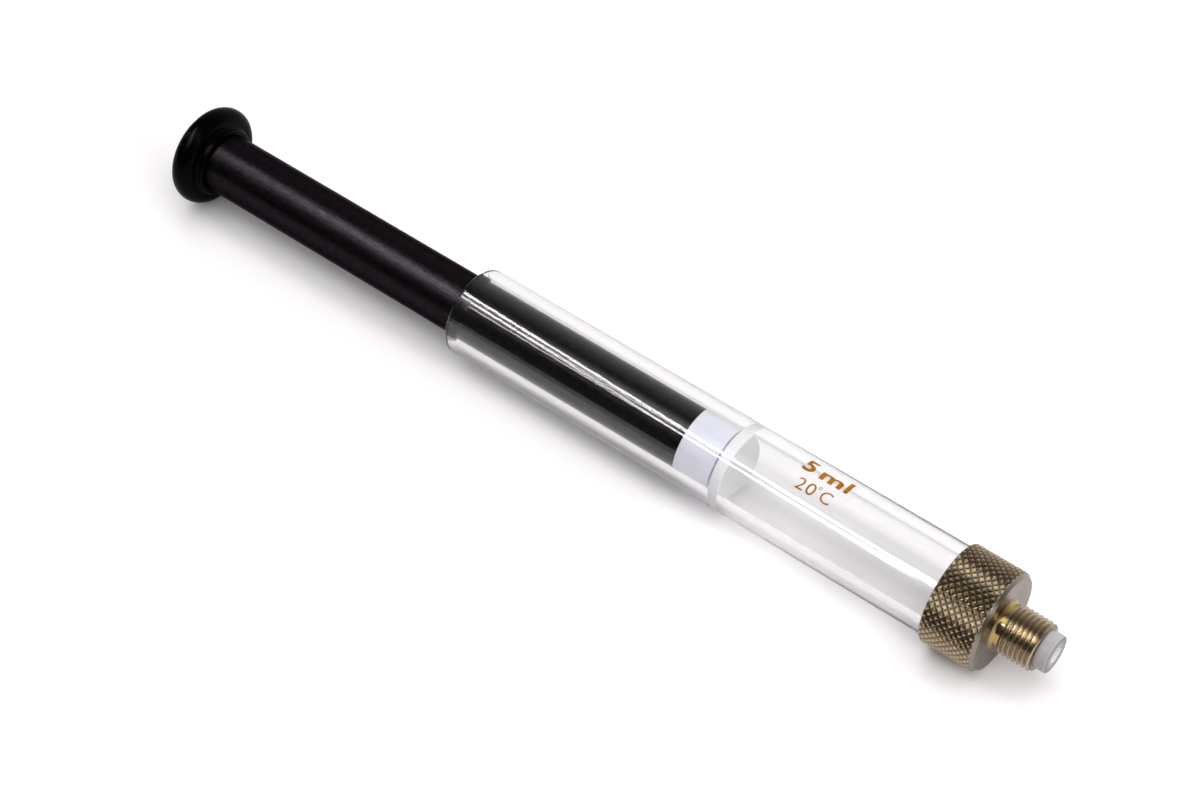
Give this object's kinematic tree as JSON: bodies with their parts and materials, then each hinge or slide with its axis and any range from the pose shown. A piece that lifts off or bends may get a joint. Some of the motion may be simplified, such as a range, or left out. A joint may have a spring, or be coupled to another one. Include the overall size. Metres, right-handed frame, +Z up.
{
  "type": "gastight syringe",
  "caption": "Gastight glass syringe with a knurled threaded collar, a white sealing plunger tip and a black plunger with a rounded knob.",
  "frame": {"origin": "on the syringe's axis, in the plane of the collar's front face, where it seats on a valve", "axes": "+X along the axis, out of the threaded nose; +Z up as the syringe lies on a table; the plunger's knob is towards -X"},
  "size_m": [0.1649, 0.017, 0.017],
  "materials": {
    "borosilicate_glass": "clear, fire-polished mouth",
    "plated_brass": "thin nickel plate with a warm tint, knurled",
    "cement": "cured clear cement",
    "clear_fluoroplastic": "translucent",
    "black_anodised": "satin black anodised",
    "white_fluoroplastic": "waxy translucent white",
    "black_rubber": "matte",
    "black_gloss": "glossy black",
    "bare_brass": "bare turned brass"
  },
  "bodies": {
    "barrel": {"glass_barrel": "borosilicate_glass", "knurled_collar": "plated_brass", "cement_sleeve": "cement", "tip_insert": "clear_fluoroplastic"},
    "plunger": {"plunger_rod": "black_anodised", "plunger_seal": "white_fluoroplastic", "seal_ring": "black_rubber", "plunger_knob": "black_gloss", "knob_stud": "bare_brass"}
  },
  "joints": [
    {"name": "plunger_slide", "type": "slide", "parent": "barrel", "child": "plunger", "axis": [1, 0, 0], "range_m": [-0.0173, 0.0427]}
  ]
}
